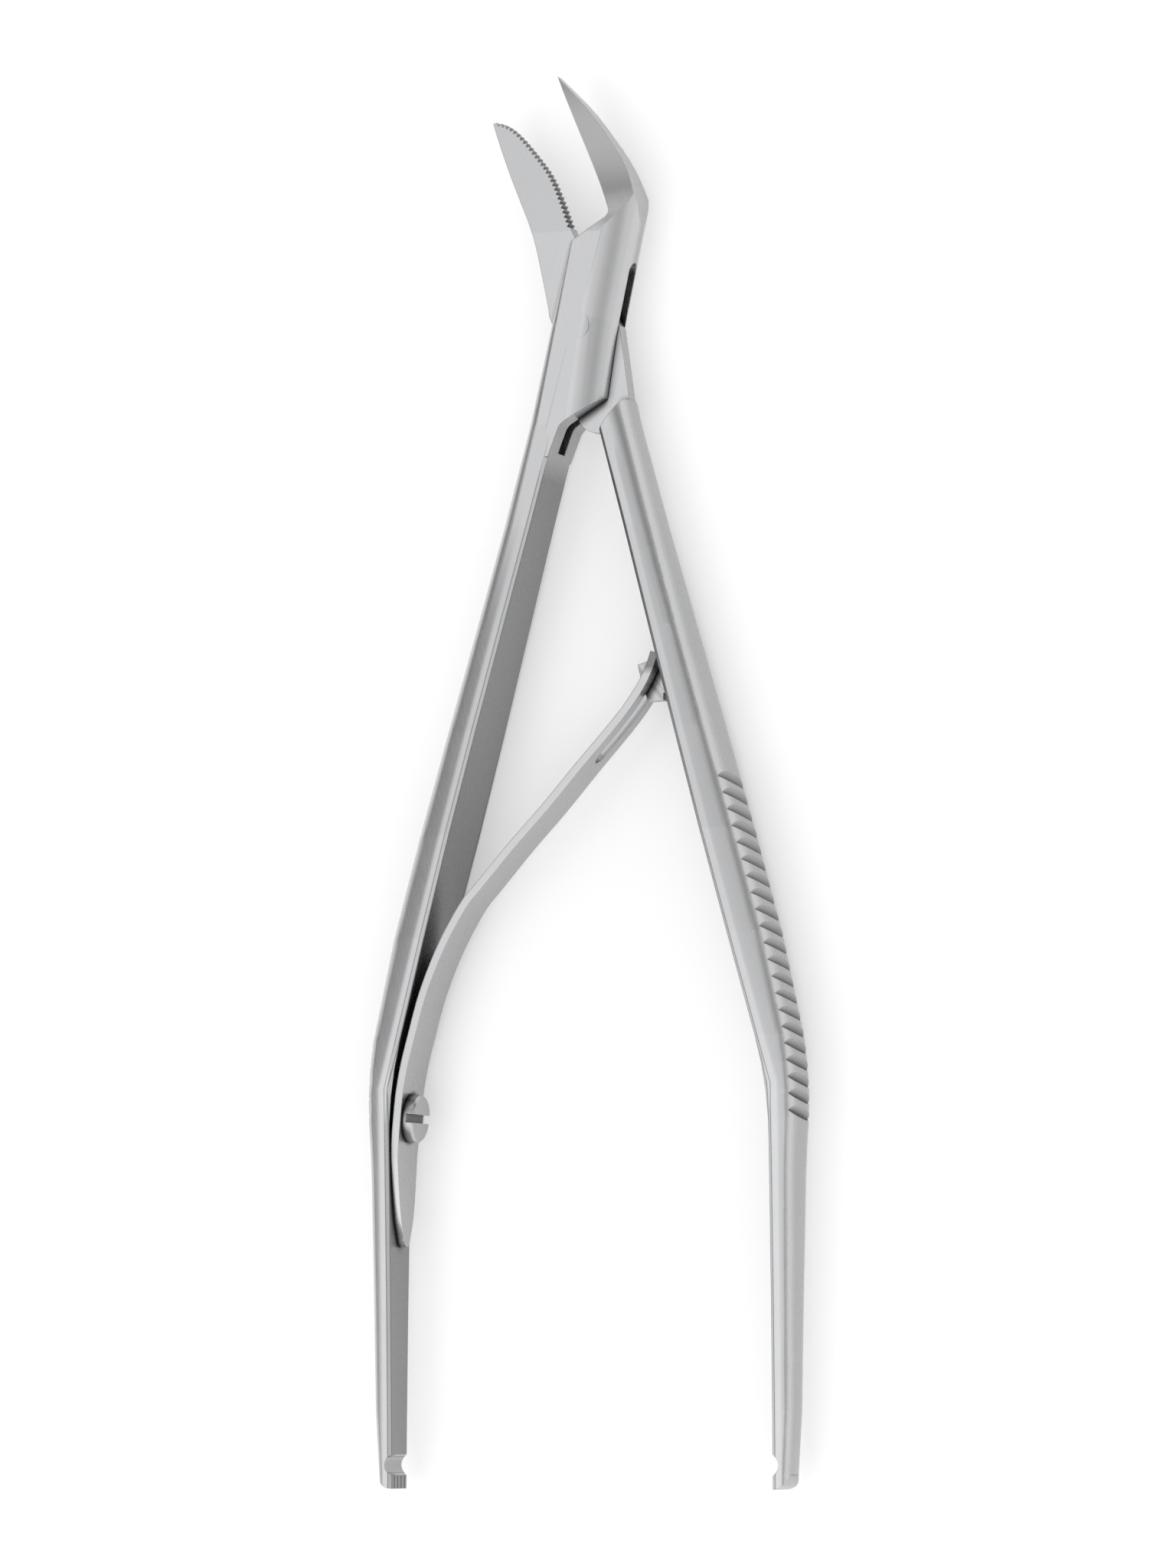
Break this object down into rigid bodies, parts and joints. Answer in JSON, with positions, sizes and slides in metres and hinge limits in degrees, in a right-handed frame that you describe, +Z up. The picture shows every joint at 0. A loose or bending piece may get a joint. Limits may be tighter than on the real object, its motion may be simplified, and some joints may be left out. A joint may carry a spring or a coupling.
{
  "type": "clip applying forceps",
  "caption": "Box-lock forceps for wound clips, with notched applying tips on sprung handles and a serrated removing jaw at the other end.",
  "frame": {"origin": "on the lock pin's axis, at the lock cheek that faces down", "axes": "+Y from the handles towards the removing jaws, +Z up through the lock along the pin's axis, +X towards the handle that carries the tongue"},
  "size_m": [0.0398, 0.1246, 0.008],
  "materials": {
    "forged_steel": "satin brushed stainless steel",
    "spring_steel": "rolled spring steel, lightly polished",
    "screw_steel": "turned stainless steel"
  },
  "bodies": {
    "box_body": {"box_half": "forged_steel", "lock_pin": "forged_steel", "leaf_spring": "spring_steel", "spring_screw": "screw_steel"},
    "tongue_body": {"tongue_half": "forged_steel", "spring_catch": "screw_steel"}
  },
  "joints": [
    {"name": "box_lock", "type": "hinge", "parent": "box_body", "child": "tongue_body", "pos_m": [0, 0, 0.003], "axis": [0, 0, -1], "range_deg": [0, 17], "stiffness_Nm_per_rad": 0.35, "springref_deg": -14.32, "deforming": ["leaf_spring"]}
  ]
}
